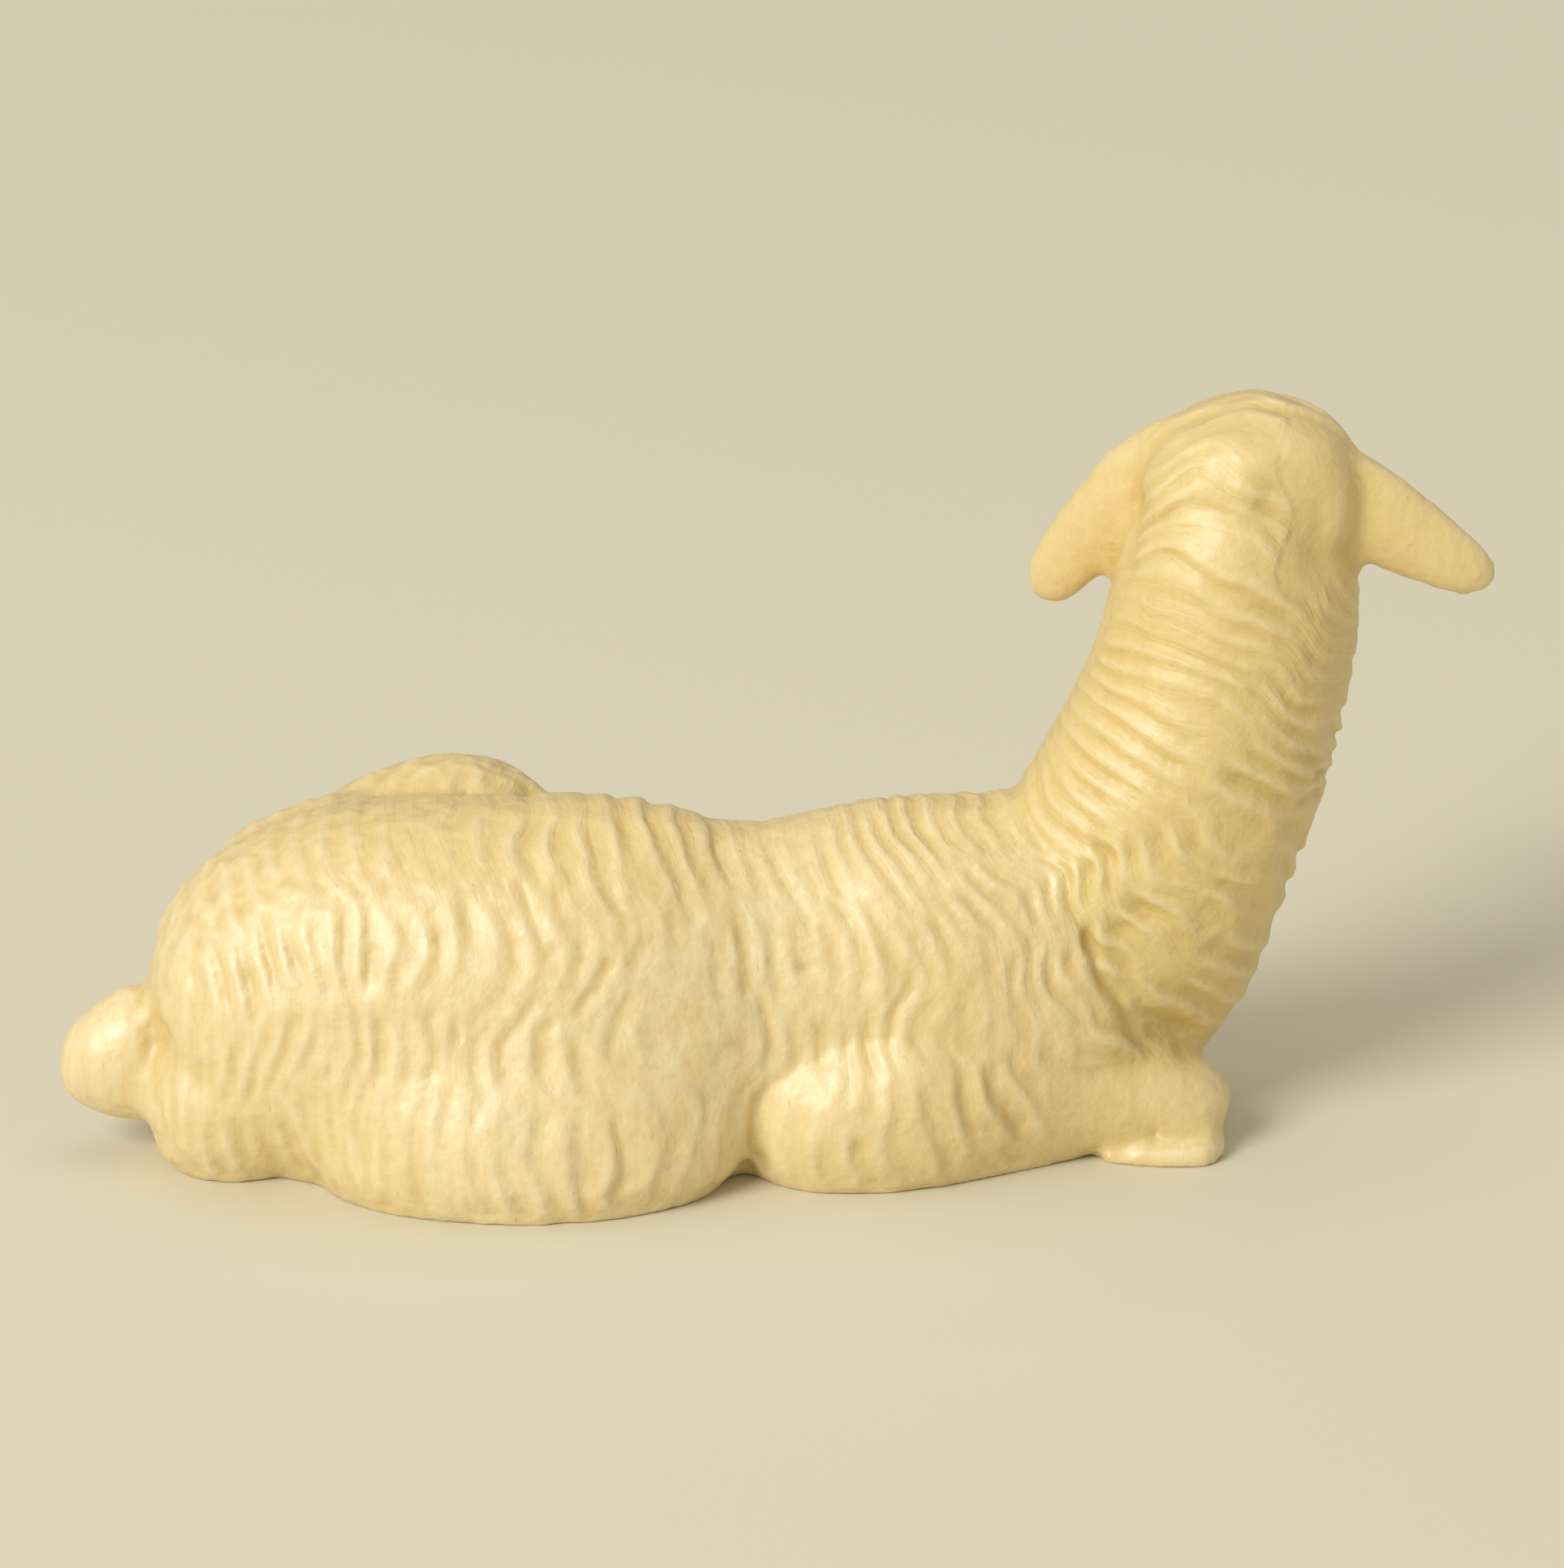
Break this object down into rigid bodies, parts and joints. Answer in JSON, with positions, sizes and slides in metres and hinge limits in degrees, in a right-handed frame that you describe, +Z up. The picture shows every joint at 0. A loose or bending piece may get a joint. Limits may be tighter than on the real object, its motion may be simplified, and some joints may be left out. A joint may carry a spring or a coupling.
{
  "type": "sheep figurine",
  "caption": "Carved wooden sheep that lies with its legs folded under it and its head turned to its left, built from maple blocks pinned with dowels, as a shelf or crib ornament.",
  "frame": {"origin": "on the flat sole, under the middle of the trunk", "axes": "+X from the tail to the breast, +Y to the sheep's left, +Z up from the table"},
  "size_m": [0.0995, 0.0413, 0.0529],
  "materials": {
    "carved_maple": "satin",
    "dowel_beech": "matte"
  },
  "bodies": {
    "root": {"trunk": "carved_maple", "neck": "carved_maple", "head": "carved_maple", "right_ear": "carved_maple", "left_ear": "carved_maple", "tail": "carved_maple", "right_foreleg": "carved_maple", "left_foreleg": "carved_maple", "left_hind_leg": "carved_maple", "right_hind_leg": "carved_maple", "neck_dowel": "dowel_beech", "head_dowel": "dowel_beech", "right_ear_dowel": "dowel_beech", "left_ear_dowel": "dowel_beech", "tail_dowel": "dowel_beech", "right_foreleg_dowel": "dowel_beech", "left_foreleg_dowel": "dowel_beech", "left_hind_leg_dowel": "dowel_beech", "right_hind_leg_dowel": "dowel_beech"}
  },
  "joints": []
}
